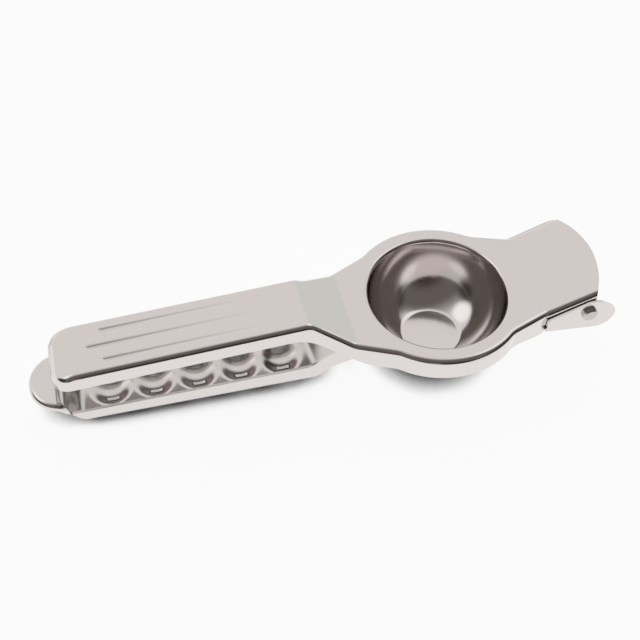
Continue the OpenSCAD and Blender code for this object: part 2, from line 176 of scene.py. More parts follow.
def upper_lines(s):
    """Top of the upper lever and lower edge of its skirt, over the distance towards the handle,
    and the skirt's edge over the distance towards the tab."""
    foot, top, rise, tilt, soft = 34.0, 49.1, 8.0, math.tan(math.radians(2.35)), 1.2
    skirt_h, rim_skirt_h, low_skirt_h, tab_skirt_h = 6.3, 8.6, 10.2, 5.4
    droop, droop_h = s.handle_reach * 0.963, 4.4

    def level(d):
        return rise - (d - top) * tilt

    face = SoftLine([(foot, 0, soft), (top, rise, soft), (droop, level(droop), 4.0),
                     (s.handle_reach, level(droop) - droop_h, 0)])
    skirt_x = top + 3.4
    skirt = SoftLine([(foot - 3, -rim_skirt_h, 3.0), (skirt_x, level(skirt_x) - skirt_h, 3.0),
                      (s.handle_reach, level(s.handle_reach) - skirt_h, 0)])
    tab_skirt = SoftLine([(24.0, -rim_skirt_h, 2.0), (30.5, -low_skirt_h, 2.0), (33.8, -low_skirt_h, 0.1),
                          (34.1, -tab_skirt_h, 0.1), (s.tab_reach, -tab_skirt_h, 0)])
    return face, skirt, tab_skirt


def lower_lines(s):
    """Floor of the lower lever and upper edge of its walls, over the distance towards the handle."""
    soft = 1.2
    ramp_x = CHANNEL_X - (CHANNEL_DROP - FLOOR_DROP) / math.tan(math.radians(43.5))
    end_x = s.tongue_reach - 13.9
    tongue_drop, lip_h = 8.6, 2.2

    def level(d):
        return -CHANNEL_DROP + (d - CHANNEL_X) * math.tan(CHANNEL_TILT)

    tongue_x = end_x + (-tongue_drop - level(end_x)) / math.tan(math.radians(70))
    floor = SoftLine([(ramp_x, -FLOOR_DROP, 2 * soft), (CHANNEL_X, -CHANNEL_DROP, soft),
                      (end_x, level(end_x), 3.6), (tongue_x, -tongue_drop, 1.6),
                      (s.tongue_reach, -tongue_drop, 0)])
    top_drop, seam_drop = 13.8, 2.5
    climb_x = 48.0
    seam_x = climb_x - (top_drop - seam_drop) / math.tan(math.radians(44))
    lip_x = end_x + 2.2
    lip_level = -tongue_drop - lip_h
    wall = SoftLine([(seam_x, -seam_drop, 2 * soft), (climb_x, -top_drop, 2 * soft),
                     (lip_x, -top_drop, soft), (lip_x + 3, lip_level, soft), (s.tongue_reach, lip_level, 0)])
    return floor, wall


# Outline of a lever: stations (x, y, direction of the outward normal in degrees)

def arc(centre, radius, start, end, side, step=2.0):
    """Stations round an arc, whose centre lies inside the outline for side 1 and outside it for -1."""
    count = max(2, math.ceil(abs(end - start) / step))
    angles = np.linspace(start, end, count + 1)
    rad = np.radians(angles)
    return np.column_stack([centre[0] + side * radius * np.cos(rad),
                            centre[1] + side * radius * np.sin(rad), angles])


def run(p, q, step=0.7):
    """Stations between two others on a straight stretch."""
    count = max(2, math.ceil(np.hypot(q[0] - p[0], q[1] - p[1]) / step))
    share = np.linspace(0, 1, count + 1)[1:-1, None]
    return p + (q - p) * share


def rim_corner(rim, normal, line_c, radius, side):
    """Centre of the concave corner between the rim's circle and a shoulder line."""
    along = math.sqrt((rim + radius) ** 2 - (line_c + radius) ** 2)
    a = math.radians(normal)
    return ((line_c + radius) * math.cos(a) + side * along * math.sin(a),
            (line_c + radius) * math.sin(a) - side * along * math.cos(a))


def outline(s, half, neck_x, tab_neck, inside, end_x, corner_r, stop_x):
    """Stations of a lever's outline, which lies inside the reference line by a given distance."""
    neck_r, shoulder_r, tab_r = 12.0, 10.0 + inside, 8.0
    rim, tab_half = s.rim - inside, s.tab_half - inside
    n1 = 90 + SHOULDER
    a1 = math.radians(n1)
    corner1 = rim_corner(rim, n1, -neck_x * math.cos(a1) + half * math.sin(a1), shoulder_r, -1)
    at1 = math.degrees(math.atan2(corner1[1], corner1[0]))
    n2 = 90 - TAB_SHOULDER
    a2 = math.radians(n2)
    corner2 = rim_corner(rim, n2, tab_neck * math.cos(a2) + tab_half * math.sin(a2), shoulder_r, 1)
    at2 = math.degrees(math.atan2(corner2[1], corner2[0]))
    handle_end = arc((corner_r - end_x, half - corner_r), corner_r, 180, 90, 1, 4.0)
    neck = arc((-neck_x - neck_r * math.tan(math.radians(SHOULDER / 2)), half + neck_r),
               neck_r, 90, n1, -1)
    flare = arc(corner1, shoulder_r, n1, at1, -1)
    turn = arc((0, 0), rim, at1, at2, 1)
    flare2 = arc(corner2, shoulder_r, at2, n2, -1)
    neck2 = arc((tab_neck + tab_r * math.tan(math.radians(TAB_SHOULDER / 2)), tab_half + tab_r),
                tab_r, n2, 90, -1)
    stop = np.array([[stop_x, tab_half, 90.0]])
    return np.vstack([handle_end, run(handle_end[-1], neck[0]), neck, run(neck[-1], flare[0]), flare,
                      turn[1:-1], flare2, run(flare2[-1], neck2[0]), neck2, run(neck2[-1], stop[0]), stop])


# Patches of the sheet's middle surface: grids of points with their normals

def side_section(s, stations, bend_r, level, slope, edge):
    """Bend and wall of one side: grids of points and normals, one row for each station."""
    flattest = 0.8
    a = np.radians(stations[:, 2])
    zero = np.zeros_like(a)
    n = np.column_stack([np.cos(a), np.sin(a), zero])
    face = np.column_stack([-np.sin(slope), zero, np.cos(slope)])
    mid_r = bend_r - s.sheet / 2
    start = np.column_stack([stations[:, :2], level]) - n * bend_r
    rise = edge - level
    up = np.where(rise < 0, -1.0, 1.0)
    bend_h = np.minimum(mid_r, flattest * np.abs(rise))
    points, normals = [], []
    for k in range(BEND_STEPS + 1):
        t = math.radians(90 * k / BEND_STEPS)
        turn = np.arctan2(up * bend_h * math.sin(t), mid_r * math.cos(t))
        p = start + n * mid_r * math.sin(t)
        p[:, 2] += up * bend_h * (1 - math.cos(t))
        points.append(p)
        normals.append(np.cos(turn)[:, None] * face - np.sin(turn)[:, None] * n)
    p = start + n * mid_r
    p[:, 2] += rise
    points.append(p)
    normals.append(-up[:, None] * n)
    return np.stack(points, 1), np.stack(normals, 1)


def height_patch(height, x, y):
    """Points and normals of a height field over grids x and y."""
    z = height(x, y)
    dx = (height(x + SLOPE_STEP, y) - height(x - SLOPE_STEP, y)) / (2 * SLOPE_STEP)
    dy = (height(x, y + SLOPE_STEP) - height(x, y - SLOPE_STEP)) / (2 * SLOPE_STEP)
    n = np.stack([-dx, -dy, np.ones_like(z)], -1)
    return np.stack([x, y, z], -1), n / np.linalg.norm(n, axis=-1, keepdims=True)


def mirrored(patch):
    """The same patch on the other side of the tool."""
    points, normals = patch
    flip = np.array([1.0, -1.0, 1.0])
    return points * flip, normals * flip


def soft_min(a, b, soft):
    """The lower of two heights, with the corner between them rounded."""
    return 0.5 * (a + b - np.sqrt((a - b) ** 2 + soft ** 2))


def soft_max(a, b, soft):
    """The higher of two heights, with the corner between them rounded."""
    return 0.5 * (a + b + np.sqrt((a - b) ** 2 + soft ** 2))


def soft_step(d, width):
    """0 below zero, 1 past width, smooth between."""
    t = np.clip(d / width, 0, 1)
    return t * t * (3 - 2 * t)


class Sheet:
    """Collects patches of a middle surface and makes one closed sheet of even thickness."""

    def __init__(self):
        self.points, self.normals, self.quads = [], [], []
        self.count = 0

    def grid(self, patch):
        """Adds a patch, a grid of points with their normals."""
        points, normals = patch
        rows, cols = points.shape[:2]
        index = np.arange(rows * cols).reshape(rows, cols) + self.count
        quads = np.stack([index[:-1, :-1], index[1:, :-1], index[1:, 1:], index[:-1, 1:]], -1)
        self.points.append(points.reshape(-1, 3))
        self.normals.append(normals.reshape(-1, 3))
        self.quads.append(quads.reshape(-1, 4))
        self.count += rows * cols

    def mesh(self, name, thickness):
        """One sheet of all patches. Points less than a two thousandth of a millimetre apart are one,
        each patch's faces point the way of its normals, and a wall closes every free edge."""
        keys_per_mm, same_turn, shortest = 2000, 0.8, 1e-9
        points = np.vstack(self.points)
        normals = np.vstack(self.normals)
        keys = np.round(points * keys_per_mm).astype(np.int64)
        _, first, where = np.unique(keys, axis=0, return_index=True, return_inverse=True)
        where = where.ravel()
        total = np.zeros((len(first), 3))
        np.add.at(total, where, normals)
        p = points[first]
        n = total / np.linalg.norm(total, axis=1, keepdims=True)
        faces = []
        for patch in self.quads:
            part, turn = [], 0.0
            for quad in where[patch]:
                face = [v for i, v in enumerate(quad) if v != quad[i - 1]]
                if len(face) < 3:
                    continue
                q = p[face]
                spread = np.cross(q[1] - q[0], q[2] - q[0])
                if len(face) == 4:
                    spread = spread + np.cross(q[2] - q[0], q[3] - q[0])
                turn += spread @ n[face].sum(0)
                part.append(face)
            if turn < 0:
                for face in part:
                    face.reverse()
            faces.extend(part)
        edges = dict.fromkeys((a, b) for face in faces for a, b in zip(face, face[1:] + face[:1]))
        rim = [(a, b) for a, b in edges if (b, a) not in edges]
        size = len(p)
        half = thickness / 2
        vertices = np.vstack([p + n * half, p - n * half]) * MM
        all_faces = list(faces)
        loops = [n[v] for face in faces for v in face]
        for face in faces:
            under = [v + size for v in reversed(face)]
            all_faces.append(under)
            loops.extend(-n[v - size] for v in under)
        edge_normal = {}
        for a, b in rim:
            out = np.cross(p[b] - p[a], n[a] + n[b])
            out /= max(np.linalg.norm(out), shortest)
            edge_normal[(a, b)] = out
        around = {}
        for (a, b), out in edge_normal.items():
            around.setdefault(a, []).append(out)
            around.setdefault(b, []).append(out)
        for (a, b), out in edge_normal.items():
            all_faces.append([b, a, a + size, b + size])
            smooth = []
            for v in (a, b):
                mean = np.sum(around[v], 0)
                mean /= max(np.linalg.norm(mean), shortest)
                smooth.append(mean if mean @ out > same_turn else out)
            loops.extend([smooth[1], smooth[0], smooth[0], smooth[1]])
        mesh = bpy.data.meshes.new(name)
        mesh.from_pydata([tuple(v) for v in vertices], [], all_faces)
        mesh.shade_smooth()
        mesh.normals_split_custom_set([tuple(v) for v in loops])
        return mesh


def fan(boundary, profile, height, shares):
    """Patch from the bowl's centre to a boundary loop. The profile (radius, height, normal) is turned
    round the centre, and past its last ring the rays run on to the boundary over a height field."""
    radius = np.hypot(boundary[:, 0], boundary[:, 1])
    ray = boundary[:, :2] / radius[:, None]
    rows, normals = [], []
    for r, z, (nr, nz) in profile:
        rows.append(np.column_stack([ray * r, np.full(len(ray), z)]))
        normals.append(np.column_stack([ray * nr, np.full(len(ray), nz)]))
    last = profile[-1][0]
    x = np.stack([ray[:, 0] * (last + (radius - last) * f) for f in shares])
    y = np.stack([ray[:, 1] * (last + (radius - last) * f) for f in shares])
    points, field = height_patch(height, x, y)
    points = np.concatenate([np.stack(rows), points])
    field = np.concatenate([np.stack(normals), field])
    return points, field


def dish_profile(s, radius, flange_z, bottom_z, flange_r):
    """Rings (radius, height, normal) of a dish's middle surface, from its centre to its flange."""
    corner_r = s.cup_round - s.sheet / 2
    middle_r = radius + s.sheet / 2
    corner_z = flange_z - corner_r
    corner_x = math.sqrt((middle_r + corner_r) ** 2 - (corner_z - s.ball_z) ** 2)
    tangent = math.atan2(corner_z - s.ball_z, corner_x)
    floor_at = -math.acos(math.sqrt(middle_r ** 2 - (bottom_z - s.ball_z) ** 2) / middle_r)
    flat_r = middle_r * math.cos(floor_at)
    blend = 1.0

    def blended(r, a):
        """Normal that turns over the blend from the flat bottom's to the wall's at angle a."""
        share = soft_step(r - flat_r + blend, 2 * blend)
        normal = np.array([-math.cos(a), -math.sin(a)]) * share + np.array([0, 1.0]) * (1 - share)
        return tuple(normal / np.linalg.norm(normal))

    rings = [(r, bottom_z, (0.0, 1.0)) for r in np.linspace(FIRST_RING, flat_r - blend, 5)]
    for r in np.linspace(flat_r - blend, flat_r, 5)[1:]:
        rings.append((r, bottom_z, blended(r, floor_at)))
    for a in np.linspace(floor_at, tangent, 44)[1:]:
        r = middle_r * math.cos(a)
        rings.append((r, s.ball_z + middle_r * math.sin(a), blended(r, a)))
    for a in np.linspace(tangent + math.pi, math.pi / 2, 10)[1:]:
        rings.append((corner_x + corner_r * math.cos(a), corner_z + corner_r * math.sin(a),
                      (math.cos(a), math.sin(a))))
    rings.append((flange_r, flange_z, (0.0, 1.0)))
    return rings


def plate(name, polygon, inner_y, thickness, side):
    """Closed flat plate in the XZ plane at inner_y, on one side of the tool."""
    bm = bmesh.new()
    near = [bm.verts.new((x * MM, side * inner_y * MM, z * MM)) for x, z in polygon]
    far = [bm.verts.new((x * MM, side * (inner_y + thickness) * MM, z * MM)) for x, z in polygon]
    bm.faces.new(near)
    bm.faces.new(list(reversed(far)))
    for i in range(len(polygon)):
        j = (i + 1) % len(polygon)
        bm.faces.new((near[j], near[i], far[i], far[j]))
    bmesh.ops.recalc_face_normals(bm, faces=bm.faces)
    mesh = bpy.data.meshes.new(name)
    bm.to_mesh(mesh)
    bm.free()
    return mesh


def joined(name, meshes, material, body, node):
    """One piece of several meshes, riding on its body in place of a CAD node."""
    objects = []
    for mesh in meshes:
        piece = bpy.data.objects.new(name, mesh)
        bpy.context.collection.objects.link(piece)
        objects.append(piece)
    if len(objects) > 1:
        with bpy.context.temp_override(active_object=objects[0], object=objects[0],
                                       selected_editable_objects=objects, selected_objects=objects):
            bpy.ops.object.join()
    piece = objects[0]
    piece.name = name
    piece.data.materials.clear()
    piece.data.materials.append(material)
    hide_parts(node)
    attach(piece, body)
    return piece


# Materials

def add_node(tree, kind, settings=None, inputs=None):
    """One node with its settings, and its inputs set to values or linked to sockets."""
    node = tree.nodes.new(kind)
    for name, value in (settings or {}).items():
        setattr(node, name, value)
    for name, value in (inputs or {}).items():
        if isinstance(value, bpy.types.NodeSocket):
            tree.links.new(value, node.inputs[name])
        else:
            node.inputs[name].default_value = value
    return node


def polished_steel(name, base, roughness, wave):
    """Stainless sheet, press-formed and polished: clear reflections that waver a little where the
    press stretched the sheet, and a faint haze of polishing marks. The marks are drawn 0.8 mm wide,
    coarser than real ones, because those wouldn't show."""
    waver_size, haze_size = 18 * MM, 0.8 * MM
    material = bpy.data.materials.new(name)
    material.use_nodes = True
    tree = material.node_tree
    tree.nodes.clear()
    place = add_node(tree, "ShaderNodeTexCoord")
    waver = add_node(tree, "ShaderNodeTexNoise", None,
                     {"Vector": place.outputs["Object"], "Scale": 1 / waver_size, "Detail": 1.0})
    haze = add_node(tree, "ShaderNodeTexNoise", None,
                    {"Vector": place.outputs["Object"], "Scale": 1 / haze_size, "Detail": 4.0})
    spread = add_node(tree, "ShaderNodeMapRange", None,
                      {"Value": haze.outputs["Fac"], "To Min": roughness * 0.8, "To Max": roughness * 1.25})
    bump = add_node(tree, "ShaderNodeBump", None,
                    {"Height": waver.outputs["Fac"], "Strength": wave, "Distance": 0.1 * MM})
    shader = add_node(tree, "ShaderNodeBsdfPrincipled", None,
                      {"Base Color": (*base, 1.0), "Metallic": 1.0, "Roughness": spread.outputs["Result"],
                       "Normal": bump.outputs["Normal"]})
    add_node(tree, "ShaderNodeOutputMaterial", None, {"Surface": shader.outputs["BSDF"]})
    return material


def floor_paint(base):
    """Matt white studio paint. The camera and the steel see it bright, as in the photograph. It keeps
    a faint part of the tool's soft shadow, and is dark close under the tool, where no light reaches."""
    shade_reach, bright_share = 16 * MM, 0.93
    material = bpy.data.materials.new("matt studio paint")
    material.use_nodes = True
    tree = material.node_tree
    tree.nodes.clear()
    matt = add_node(tree, "ShaderNodeBsdfDiffuse", None, {"Color": (*base, 1.0)})
    shade = add_node(tree, "ShaderNodeAmbientOcclusion", {"samples": 16}, {"Distance": shade_reach})
    depth = add_node(tree, "ShaderNodeMapRange", None,
                     {"Value": shade.outputs["AO"], "From Min": 0.32, "From Max": 0.6,
                      "To Min": 0.04, "To Max": 1.0})
    bright = add_node(tree, "ShaderNodeEmission", None,
                      {"Color": (1.0, 1.0, 1.0, 1.0), "Strength": depth.outputs["Result"]})
    seen = add_node(tree, "ShaderNodeMixShader", None,
                    {0: bright_share, 1: matt.outputs[0], 2: bright.outputs[0]})
    path = add_node(tree, "ShaderNodeLightPath")
    direct = add_node(tree, "ShaderNodeMath", {"operation": "MAXIMUM"},
                      {0: path.outputs["Is Camera Ray"], 1: path.outputs["Is Glossy Ray"]})
    either = add_node(tree, "ShaderNodeMath", {"operation": "MAXIMUM"},
                      {0: direct.outputs[0], 1: path.outputs["Is Transmission Ray"]})
    paint = add_node(tree, "ShaderNodeMixShader", None,
                     {0: either.outputs[0], 1: matt.outputs[0], 2: seen.outputs[0]})
    add_node(tree, "ShaderNodeOutputMaterial", None, {"Surface": paint.outputs[0]})
    return material


# The pieces

def flat_edge(side_patch):
    """Points of a side section where the flat ends."""
    return side_patch[0][:, 0, :]


def slope_of(height, x):
    """Angle at which a height line rises at x."""
    return np.arctan((height(x + SLOPE_STEP) - height(x - SLOPE_STEP)) / (2 * SLOPE_STEP))


def groove_relief(s, x, y):
    """Depth of the three grooves pressed into the upper handle, which deepen towards its end."""
    shallow, fade_from, fade_length, run_out = 0.45, 60.0, 60.0, 2.0
    fade = shallow + (1 - shallow) * np.clip((-x - fade_from) / fade_length, 0.0, 1.0)
    depth = np.zeros_like(x)
    for groove_y, start, groove_length in GROOVES:
        across = np.exp(-((y - groove_y) / GROOVE_HALF) ** 2)
        begun = soft_step(-x - start + run_out / 2, run_out)
        left = soft_step(start + groove_length + x + run_out / 2, run_out)
        depth = depth + s.groove_depth * fade * across * begun * left
    return depth


def handle_patch(height, side, last_row, columns):
    """Flat of a handle between its side sections, over the rows up to last_row."""
    edge = flat_edge(side)[:last_row + 1]
    x = np.repeat(edge[:, :1], len(columns), 1)
    y = edge[:, 1:2] * columns[None, :]
    return height_patch(height, x, y)


def boundary_loop(side, first_row, last_row, columns):
    """Loop round the flat between two rows: right edge, far row, left edge, near row."""
    edge = flat_edge(side)[first_row:last_row + 1]
    right = edge[:, :2]
    far = np.column_stack([np.full(len(columns), edge[-1, 0]), edge[-1, 1] * columns])
    left = right * np.array([1, -1])
    near = np.column_stack([np.full(len(columns), edge[0, 0]), edge[0, 1] * columns])
    return np.vstack([right, far[::-1][1:-1], left[::-1], near[1:-1], right[:1]])


def make_upper(s, material):
    """Upper lever: the pressed sheet and its two hinge lugs."""
    face, skirt, tab_skirt = upper_lines(s)
    middle = s.rim_z - s.sheet / 2
    tab_line = SoftLine([(CREASE, 0, 1.2), (CREASE + 1, TAB_RISE, 0)])

    def level(x):
        return middle + np.where(x < 0, face.height(-x), tab_line.height(x))

    def height(x, y):
        return level(x) - groove_relief(s, x, y)

    body_end, cup_from, flange_w = CREASE + 1.5, -32.6, 1.9
    stations = outline(s, s.half, NECK, TAB_NECK, 0.0, s.handle_reach, s.handle_corner, body_end)
    flat_x = stations[:, 0] - np.cos(np.radians(stations[:, 2])) * s.bead
    edge = s.rim_z + np.where(stations[:, 0] < 0, skirt.height(-stations[:, 0]),
                              tab_skirt.height(stations[:, 0]))
    side = side_section(s, stations, s.bead, level(flat_x), slope_of(level, flat_x), edge)
    sheet = Sheet()
    sheet.grid(side)
    sheet.grid(mirrored(side))
    sheet.grid(end_strip(side))
    columns = groove_columns()
    first = int(np.argmax(flat_edge(side)[:, 0] > cup_from))
    sheet.grid(handle_patch(height, side, first, columns))
    rings = dish_profile(s, s.cup_radius, middle, s.rim_z - s.cup_depth - s.sheet / 2,
                         s.cup_radius + flange_w)
    loop = boundary_loop(side, first, len(stations) - 1, columns)
    sheet.grid(fan(loop, rings, height, np.linspace(0, 1, 26)[1:]))
    sheet.grid(tab_patch(s, side, level, columns))
    for patch in tab_sides(s, side, level, edge[-1]):
        sheet.grid(patch)
    meshes = [sheet.mesh("upper_sheet", s.sheet)]
    inset, lug_r = 0.02, 4.9
    lug = circle_points((s.hinge_x, s.hinge_z), lug_r)
    for sign in (-1, 1):
        meshes.append(plate("lug", lug, s.tab_half - s.sheet + inset, s.sheet - 2 * inset, sign))
    return joined("upper_lever_sheet", meshes, material, UPPER_BODY, "upper_lever")


def end_strip(side):
    """Strip across the handle's end, from the left side's first section to the right's."""
    rows = 9
    points, normals = side
    flip = points[0] * np.array([1, -1, 1])
    strip = flip + (points[0] - flip) * np.linspace(0, 1, rows)[:, None, None]
    return strip, np.repeat(normals[:1], rows, 0)


def groove_columns():
    """Shares of the flat's half width, closer together at the grooves."""
    flat_half = 9.1
    near = np.linspace(-1.3, 1.3, 15)
    between = [-8.9, -8.4, -3.1, 3.1, 8.4, 8.9]
    y = np.concatenate([near - GROOVE_PITCH, near, near + GROOVE_PITCH, between])
    return np.unique(np.clip(np.concatenate([y / flat_half, [-1, 1]]), -1, 1))


def tab_end_x(s, y):
    """Where the tab's round end lies at y."""
    radius = 34.7
    return s.tab_reach - radius + np.sqrt(radius ** 2 - y ** 2)


def tab_patch(s, side, level, columns):
    """Flat of the tab, cut to its round end."""
    edge = flat_edge(side)[-1]
    y = edge[1] * columns
    share = np.linspace(0, 1, TAB_ROWS)[:, None]
    x = edge[0] + share * (tab_end_x(s, y)[None, :] - edge[0])
    return height_patch(lambda u, v: level(u), x, np.repeat(y[None, :], len(share), 0))


def tab_sides(s, side, level, edge_z):
    """Bends and skirts of the tab, cut to its round end."""
    last = side[0][-1]
    share = np.linspace(0, 1, TAB_ROWS)[:, None]
    y = last[:, 1]
    x = last[0, 0] + share * (tab_end_x(s, y)[None, :] - last[0, 0])
    mid_r = s.bead - s.sheet / 2
    slope = slope_of(level, x)
    t = np.radians(np.append(90 * np.arange(BEND_STEPS + 1) / BEND_STEPS, 90))
    z = level(x) - mid_r * (1 - np.cos(t))[None, :]
    z[:, -1] = edge_z
    normal = np.stack([-np.sin(slope) * np.cos(t), np.repeat(np.sin(t)[None, :], len(share), 0),
                       np.cos(slope) * np.cos(t)], -1)
    points = np.stack([x, np.repeat(y[None, :], len(share), 0), z], -1)
    normal /= np.linalg.norm(normal, axis=-1, keepdims=True)
    patch = (points, normal)
    return patch, mirrored(patch)


def pocket_relief(s, x, y):
    """Depth of the finger pockets, shallow round dimples with a softly broken edge."""
    soft, ease = 1.4, 0.5
    lift = s.pocket_ball - s.pocket_depth + ease
    depth = np.zeros_like(x)
    for i in range(s.pockets):
        across = (x + s.pocket_x + s.pocket_pitch * i) ** 2 + y ** 2
        ball = np.sqrt(np.maximum(s.pocket_ball ** 2 - across, 0.01)) - lift
        depth = depth + soft_ramp(ball, soft)
    return depth


def cutters_tree():
    """Node tree that cuts two rings of strainer holes and the pockets' drain slots through a sheet.
    Each ring is a circle of points, the slots stand on a line of points in pairs, and each point
    carries one cutter."""
    tree = bpy.data.node_groups.new("strainer holes and drain slots", "GeometryNodeTree")
    sockets = {}
    for name, kind in (("Geometry", "Geometry"), ("Holes", "Int"), ("Inner Ring", "Float"),
                       ("Outer Ring", "Float"), ("Hole Radius", "Float"), ("Cut Depth", "Float"),
                       ("Pockets", "Int"), ("First Pocket", "Vector"), ("Pocket Step", "Vector"),
                       ("Slot Width", "Float"), ("Slot Stretch", "Float"), ("Slot Slope", "Float"),
                       ("Ball", "Float"), ("Material", "Material")):
        item = tree.interface.new_socket(name, in_out="INPUT", socket_type="NodeSocket" + kind)
        sockets[name] = item.identifier
    tree.interface.new_socket("Geometry", in_out="OUTPUT", socket_type="NodeSocketGeometry")
    given = add_node(tree, "NodeGroupInput").outputs
    hole = add_node(tree, "GeometryNodeMeshCylinder", None,
                    {"Vertices": 32, "Radius": given["Hole Radius"], "Depth": given["Cut Depth"]})
    cutters = []
    for ring, times in (("Inner Ring", 1), ("Outer Ring", 2)):
        count = add_node(tree, "ShaderNodeMath", {"operation": "MULTIPLY"},
                         {0: given["Holes"], 1: float(times)})
        circle = add_node(tree, "GeometryNodeMeshCircle", None,
                          {"Vertices": count.outputs[0], "Radius": given[ring]})
        cutters.append(add_node(tree, "GeometryNodeInstanceOnPoints", None,
                                {"Points": circle.outputs["Mesh"], "Instance": hole.outputs["Mesh"]}))
    # A slot's cutter is a cylinder pulled apart along X
    rod = add_node(tree, "GeometryNodeMeshCylinder", None,
                   {"Vertices": 32, "Radius": given["Slot Width"], "Depth": given["Ball"]})
    place = add_node(tree, "ShaderNodeSeparateXYZ", None,
                     {"Vector": add_node(tree, "GeometryNodeInputPosition").outputs[0]})
    way = add_node(tree, "ShaderNodeMath", {"operation": "SIGN"}, {0: place.outputs["X"]})
    pull = add_node(tree, "ShaderNodeMath", {"operation": "MULTIPLY"},
                    {0: way.outputs[0], 1: given["Slot Stretch"]})
    shift = add_node(tree, "ShaderNodeCombineXYZ", None, {"X": pull.outputs[0]})
    slot = add_node(tree, "GeometryNodeSetPosition", None,
                    {"Geometry": rod.outputs["Mesh"], "Offset": shift.outputs[0]})
    drop = add_node(tree, "ShaderNodeMath", {"operation": "MULTIPLY"}, {0: given["Ball"], 1: -1.0})
    down = add_node(tree, "ShaderNodeCombineXYZ", None, {"Z": drop.outputs[0]})
    lowered = add_node(tree, "GeometryNodeTransform", None,
                       {"Geometry": slot.outputs["Geometry"], "Translation": down.outputs[0]})
    line = add_node(tree, "GeometryNodeMeshLine", None,
                    {"Count": given["Pockets"], "Start Location": given["First Pocket"],
                     "Offset": given["Pocket Step"]})
    for side in (-1.0, 1.0):
        turn = add_node(tree, "ShaderNodeMath", {"operation": "MULTIPLY"},
                        {0: given["Slot Slope"], 1: side})
        euler = add_node(tree, "ShaderNodeCombineXYZ", None, {"X": turn.outputs[0]})
        cutters.append(add_node(tree, "GeometryNodeInstanceOnPoints", None,
                                {"Points": line.outputs["Mesh"], "Instance": lowered.outputs["Geometry"],
                                 "Rotation": euler.outputs[0]}))
    gather = add_node(tree, "GeometryNodeJoinGeometry")
    for cutter in cutters:
        tree.links.new(cutter.outputs["Instances"], gather.inputs[0])
    solid = add_node(tree, "GeometryNodeRealizeInstances", None, {"Geometry": gather.outputs[0]})
    cut = add_node(tree, "GeometryNodeMeshBoolean", {"operation": "DIFFERENCE", "solver": "EXACT"},
                   {"Mesh 1": given["Geometry"]})
    tree.links.new(solid.outputs[0], cut.inputs["Mesh 2"])
    # Edges sharper than this angle stay sharp
    sharp = math.radians(40)
    bend = add_node(tree, "GeometryNodeInputMeshEdgeAngle")
    gentle = add_node(tree, "FunctionNodeCompare", {"data_type": "FLOAT", "operation": "LESS_THAN"},
                      {0: bend.outputs["Unsigned Angle"], 1: sharp})
    smooth = add_node(tree, "GeometryNodeSetShadeSmooth", {"domain": "FACE"},
                      {"Geometry": cut.outputs[0]})
    crisp = add_node(tree, "GeometryNodeSetShadeSmooth", {"domain": "EDGE"},
                     {"Geometry": smooth.outputs[0], "Shade Smooth": gentle.outputs[0]})
    whole = add_node(tree, "GeometryNodeRealizeInstances", None, {"Geometry": crisp.outputs[0]})
    dressed = add_node(tree, "GeometryNodeSetMaterial", None,
                       {"Geometry": whole.outputs[0], "Material": given["Material"]})
    add_node(tree, "NodeGroupOutput", None, {"Geometry": dressed.outputs[0]})
    return tree, sockets


def cut_openings(mesh, s, material):
    """The sheet with its strainer holes and drain slots cut by the node tree."""
    tree, sockets = cutters_tree()
    piece = bpy.data.objects.new("lower sheet", mesh)
    bpy.context.collection.objects.link(piece)
    modifier = piece.modifiers.new("openings", "NODES")
    modifier.node_group = tree
    channel = Vector((-CHANNEL_X, 0, s.rim_z - CHANNEL_DROP))
    first = Vector((CHANNEL_X - s.pocket_x, 0, s.pocket_ball - s.pocket_depth))
    first.rotate(Euler((0, CHANNEL_TILT, 0)))
    slot_y, slot_l, slot_w = 4.5, 5.5, 2.7
    values = {
        "Holes": s.holes, "Inner Ring": s.inner_ring * MM, "Outer Ring": s.outer_ring * MM,
        "Hole Radius": s.hole_radius * MM, "Cut Depth": s.rim_z * MM, "Pockets": s.pockets,
        "First Pocket": (first + channel) * MM,
        "Pocket Step": Vector((-math.cos(CHANNEL_TILT), 0, math.sin(CHANNEL_TILT))) * s.pocket_pitch * MM,
        "Slot Width": slot_w / 2 * MM, "Slot Stretch": (slot_l - slot_w) / 2 * MM,
        "Slot Slope": math.asin(slot_y / s.pocket_ball), "Ball": s.pocket_ball * MM, "Material": material,
    }
    for name, value in values.items():
        modifier[sockets[name]] = value
    bpy.context.view_layer.update()
    cut = bpy.data.meshes.new_from_object(piece.evaluated_get(bpy.context.evaluated_depsgraph_get()))
    piece.modifiers.remove(modifier)
    bpy.data.objects.remove(piece)
    return cut


